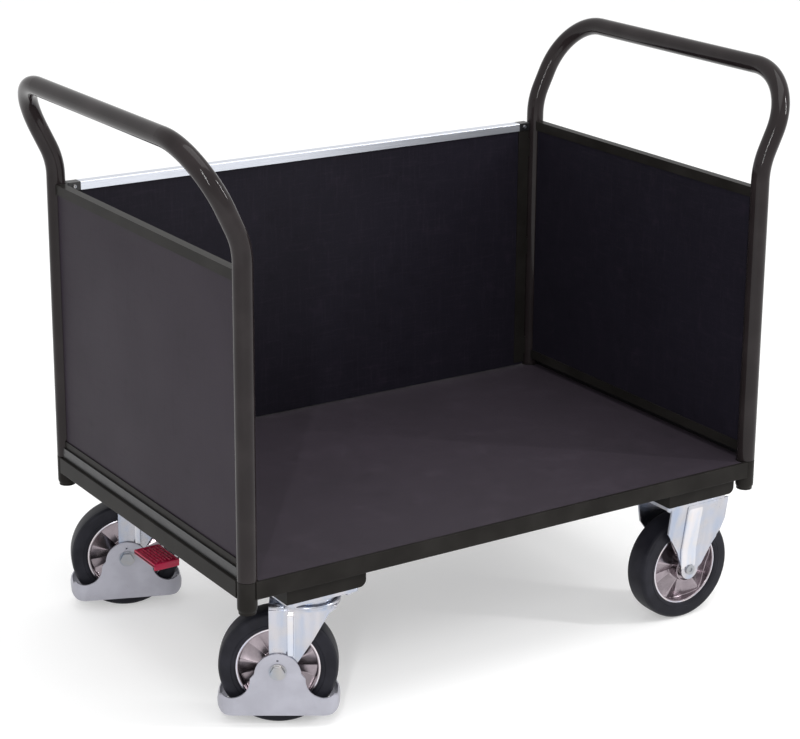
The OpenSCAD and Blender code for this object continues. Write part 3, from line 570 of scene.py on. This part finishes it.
PEDAL_LOW = np.array([-488.0, 55.0, 169.6])
PEDAL_HIGH = np.array([-438.0, 135.0, 174.6])
pedal_parts = [
    (PEDAL_LOW, PEDAL_HIGH),
    ((-488.0, 55.0, 168.4), (-482.8, 135.0, 176.5)),
    ((-442.0, 55.5, 168.6), (-438.0, 134.5, 176.2)),
    ((-487.6, 55.0, 163.0), (-438.4, 58.6, 176.4)),
    ((-487.6, 131.4, 167.0), (-438.4, 135.0, 176.4)),
]
pedal_parts += [
    ((x, y, 173.2), (x + 3.6, y + 15.2, 176.4))
    for row, x in enumerate(np.arange(-480.2, -443.5, 6.3))
    for y in np.arange(61.0 + 4.0 * (row % 2), 116.5, 17.0)
]
pedal = finish_mesh(
    "pedal_plate", soft_blocks("pedal_plate", pedal_parts, 1.8), pedal_red,
    joints["brake_pedal_press"]["child"], 50.0,
)
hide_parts("brake_pedal")

CROWN_LIP = (219.0, 50.6, 3.6)  # height and radius of the rolled edge's middle, and its own radius

for side in ("front", "back"):
    turn = joints[side + "_swivel_turn"]
    crown_x, crown_y = turn["pos_m"][:2]
    roll_edge = arc(*CROWN_LIP, 0, 330, 12) * MM
    t = np.linspace(0, 2 * np.pi, 120, endpoint=False)[None, :]
    z, r = roll_edge[:, 0][:, None], roll_edge[:, 1][:, None]
    points = np.stack([crown_x + r * np.cos(t), crown_y + r * np.sin(t), z + 0 * t], axis=-1)
    lip = side + "_crown_lip"
    finish_mesh(lip, grid_mesh(lip, points, closed_rows=True), zinc, turn["child"])


def pressed_rib(name, centre, ahead, outward, half, rise, heights, face, body):
    """Rib pressed out of a fork leg. Point = centre + u * ahead + (face(z) + rise * swell(u) *
    ends(z)) * outward, at height z; swell is a flat-topped cosine bump across the rib and ends
    runs it out smoothly at both ends. Its back lies 1 mm inside the leg."""
    u = np.linspace(-1, 1, 25)
    swell = np.clip(0.5 + 0.5 * np.cos(np.pi * np.clip(np.abs(u) * 2.2 - 1.2, 0, 1)), 0, 1)
    low, high = heights
    z = np.linspace(low, high, 40)
    ends = np.clip(np.minimum(z - low, high - z) / 7.0, 0, 1)
    ends = ends * ends * (3 - 2 * ends)
    plane = face(z)
    front = plane[:, None] + rise * swell[None, :] * ends[:, None] - 0.1
    back = np.repeat(plane[:, None] - 1.0, len(u), axis=1)
    out = np.hstack([front, back[:, ::-1]])
    across = np.hstack([u, u[::-1]])[None, :] * half + 0 * out
    tall = z[:, None] + 0 * out
    ahead, outward = np.array(ahead, float), np.array(outward, float)
    points = np.array(centre, float) * [1, 1, 0] / MM
    points = points + across[..., None] * ahead + out[..., None] * outward
    points[..., 2] += tall
    mesh = grid_mesh(name, points * MM, caps=True)
    # The rib takes the brighter zinc, a painted highlight.
    return finish_mesh(name, mesh, rib_highlight_zinc, body, 60.0)


LEG_OUTER = 35.5
FLARE_FROM, FLARE_TO = 140.0, 233.0
FLARE = 16.0
RAISED = 1.5


def flared(z):
    """Outer face of a fixed leg's raised middle: upright, then leaning out to the plate."""
    lean = np.maximum(0.0, (z - FLARE_FROM) / (FLARE_TO - FLARE_FROM))
    return LEG_OUTER + RAISED + FLARE * lean


def upright(z):
    """Outer face of a swivel leg, the same at every height."""
    return np.full_like(z, LEG_OUTER)


for wheel in ("front_fixed", "back_fixed"):
    middle = np.array(joints[wheel + "_wheel_roll"]["pos_m"]) - [3 * MM, 0, 0]
    for side, outward in (("left", 1), ("right", -1)):
        pressed_rib(
            f"{wheel}_{side}_pressed_rib", middle, (1, 0, 0), (0, outward, 0),
            17.0, 1.8, (104.0, 226.0), flared, "chassis",
        )
for side in ("front", "back"):
    hub, swivel = joints[side + "_swivel_wheel_roll"], joints[side + "_swivel_turn"]
    axle = np.array(hub["axis"], float)
    ahead = np.cross(axle, [0, 0, 1])
    ahead *= np.sign(np.dot(ahead, np.array(swivel["pos_m"]) - np.array(hub["pos_m"])))
    for face, outward in (("near", axle), ("far", -axle)):
        pressed_rib(
            f"{side}_{face}_pressed_rib", np.array(hub["pos_m"]) + ahead * 21 * MM, ahead, outward,
            7.0, 3.0, (122.0, 206.0), upright, swivel["child"],
        )


# ---------- finishes of the frame's own nodes ----------

FINISHES = {
    "board": wall_film,
    "frame_paint": paint,
    "edge_aluminium": aluminium,
    "cap_plastic": cap_black,
    "zinc": zinc,
    "guard_metal": guard_silver,
    "wheel_casting": casting,
    "rubber": rubber,
    "bearing_steel": ground_steel,
    "pedal_plastic": pedal_red,
}
SPECIAL = {
    "deck_board": deck_film,
    "left_handle_tube": tube_paint,
    "right_handle_tube": tube_paint,
    "front_swivel_axle": bolt_zinc,
    "back_swivel_axle": bolt_zinc,
    "front_fixed_axle": bolt_zinc,
    "back_fixed_axle": bolt_zinc,
    "cap_screws": bolt_zinc,
}
for part in frame["record"]["subparts"]:
    obj = nodes[part["node"]]
    chosen = SPECIAL.get(part["node"], FINISHES[part["material_slot"]])
    obj.data.materials.clear()
    obj.data.materials.append(chosen.material)


def soften(names, width, segments=2):
    """Joins a node's loose triangles and rounds its sharp edges by that width."""
    for name in names:
        joined = nodes[name].modifiers.new("joined", "WELD")
        joined.merge_threshold = 0.00002
        rounded = nodes[name].modifiers.new("rounded_edges", "BEVEL")
        rounded.width = width
        rounded.segments = segments
        rounded.limit_method = "ANGLE"
        rounded.angle_limit = math.radians(50)
        rounded.harden_normals = True


soften(["front_foot_guard", "back_foot_guard"], 1.1 * MM, 3)
soften(["front_swivel_axle", "back_swivel_axle", "plate_bolts", "plate_nuts"], 0.5 * MM)
soften(["front_swivel_fork", "back_swivel_fork", "front_fixed_fork", "back_fixed_fork"], 0.6 * MM)
soften(["swivel_top_plates", "edge_end_caps"], 0.5 * MM)


# ---------- floor, light and camera ----------


def floor():
    """Wide pale floor, faintly clouded and lit a little from within."""
    f = Finish("studio_floor", roughness=0.9, emission_color=(1, 1, 1), emission_strength=0.34)
    speckle = f.noise(2.0, 3.0)
    f.colour(f.mix(speckle, (0.70, 0.70, 0.70), (0.72, 0.72, 0.72)))
    mesh = bpy.data.meshes.new("studio_floor")
    reach = 30.0
    corners = [(-reach, -reach, 0), (reach, -reach, 0), (reach, reach, 0), (-reach, reach, 0)]
    mesh.from_pydata(corners, [], [(0, 1, 2, 3)])
    obj = bpy.data.objects.new("studio_floor", mesh)
    scene.collection.objects.link(obj)
    mesh.materials.append(f.material)
    obj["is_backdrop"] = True


def soft_light(name, place, aim, size, power):
    """White rectangular light at a place, turned so that it faces the aim."""
    data = bpy.data.lights.new(name, "AREA")
    data.shape = "RECTANGLE"
    data.size, data.size_y = size
    data.energy = power
    lamp = bpy.data.objects.new(name, data)
    scene.collection.objects.link(lamp)
    away = np.array(place, float) - np.array(aim, float)
    away /= np.linalg.norm(away)
    side = np.cross([0, 0, 1], away)
    side /= np.linalg.norm(side)
    up = np.cross(away, side)
    lamp.matrix_world = Matrix(
        [[side[i], up[i], away[i], place[i]] for i in range(3)] + [[0, 0, 0, 1]]
    )


world = bpy.data.worlds.new("studio")
world.use_nodes = True
world.node_tree.nodes["Background"].inputs["Color"].default_value = (1, 1, 1, 1)
world.node_tree.nodes["Background"].inputs["Strength"].default_value = 0.9
scene.world = world
floor()
soft_light("top_box", (0.2, -0.8, 3.6), (0, 0, 0.3), (3.0, 2.0), 50)
soft_light("left_strip", (-2.2, -2.6, 2.1), (0, 0, 0.9), (0.07, 1.5), 40)
soft_light("right_strip", (2.4, -2.2, 2.4), (0, 0, 0.9), (0.07, 1.5), 40)


SENSOR = 36.0  # sensor width in millimetres


def set_camera(target, azimuth, elevation, roll, distance, focal, centre_x, centre_y):
    """Camera at a distance from the target, turned by angles in degrees, with a shifted lens.
    Focal length and shifts are in sensor widths."""
    a, e, r = (math.radians(v) for v in (azimuth, elevation, roll))
    back = np.array([math.sin(a) * math.cos(e), -math.cos(a) * math.cos(e), math.sin(e)])
    right = np.array([math.cos(a), math.sin(a), 0.0])
    up = np.cross(back, right)
    turned_right = right * math.cos(r) + up * math.sin(r)
    turned_up = -right * math.sin(r) + up * math.cos(r)
    place = np.array(target) + back * distance
    data = bpy.data.cameras.new("studio_camera")
    data.sensor_width = SENSOR
    data.lens = focal * SENSOR
    data.shift_x = centre_x
    data.shift_y = centre_y
    data.clip_end = 100.0
    cam = bpy.data.objects.new("studio_camera", data)
    scene.collection.objects.link(cam)
    cam.matrix_world = Matrix(
        [[turned_right[i], turned_up[i], back[i], place[i]] for i in range(3)] + [[0, 0, 0, 1]]
    )
    scene.camera = cam


set_camera(
    target=(-0.10892, -0.26633, 0.65482), azimuth=-33.88, elevation=16.83, roll=0.68,
    distance=3.7821, focal=2.8461, centre_x=-0.0502, centre_y=-0.0684,
)

new_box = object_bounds()
boxes = {"cad": cad_box, "visual": new_box}
boxes = {key: [list(map(float, corner)) for corner in box] for key, box in boxes.items()}
